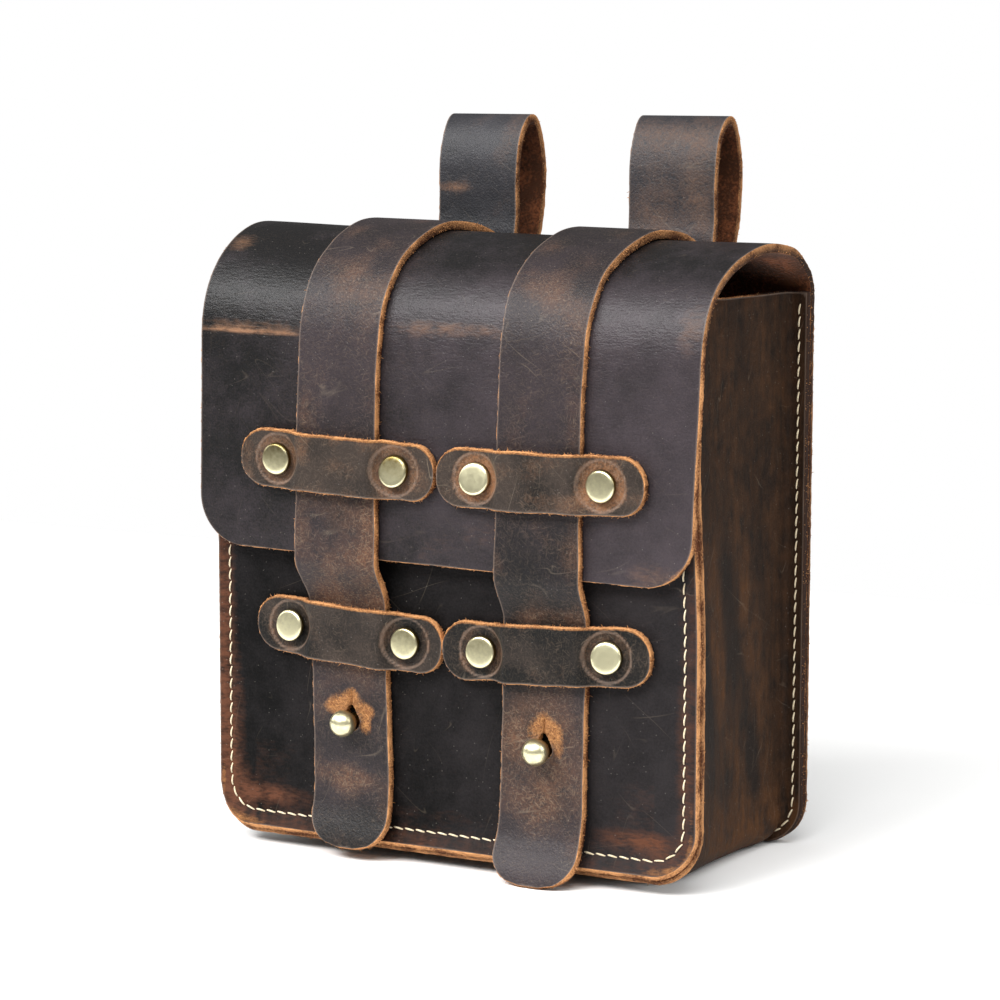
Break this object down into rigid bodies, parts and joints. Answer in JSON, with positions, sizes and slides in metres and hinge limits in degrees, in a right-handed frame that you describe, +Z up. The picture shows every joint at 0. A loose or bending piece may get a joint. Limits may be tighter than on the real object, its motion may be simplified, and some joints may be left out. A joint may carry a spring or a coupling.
{
  "type": "leather belt bag",
  "caption": "Upright leather belt bag with a fold-over flap, closing straps under riveted keepers, stud closures and belt loops on the back.",
  "frame": {"origin": "middle of the flat base that the bag stands on", "axes": "+Z up, the front with the straps and studs faces -Y, the belt loops are on the +Y side, +X is to the right as seen from the front"},
  "size_m": [0.1546, 0.1054, 0.2055],
  "materials": {
    "body_leather": "waxed pull-up leather, dark charcoal brown, satin, worn lighter brown along seams and folds",
    "strap_leather": "waxed pull-up leather, taupe brown, satin, with raw orange-tan cut edges",
    "brass": "pale antique brass, polished and lightly worn",
    "thread": "waxed cream thread"
  },
  "bodies": {
    "root": {"front_panel": "body_leather", "gusset": "body_leather", "back_and_flap": "body_leather", "strap_left": "strap_leather", "strap_right": "strap_leather", "belt_loop_left": "strap_leather", "belt_loop_right": "strap_leather", "keeper_upper_left": "strap_leather", "keeper_upper_right": "strap_leather", "keeper_lower_left": "strap_leather", "keeper_lower_right": "strap_leather", "rivet_upper_left_outer": "brass", "rivet_upper_left_inner": "brass", "rivet_upper_right_outer": "brass", "rivet_upper_right_inner": "brass", "rivet_lower_left_outer": "brass", "rivet_lower_left_inner": "brass", "rivet_lower_right_outer": "brass", "rivet_lower_right_inner": "brass", "stud_left": "brass", "stud_right": "brass"}
  },
  "joints": []
}
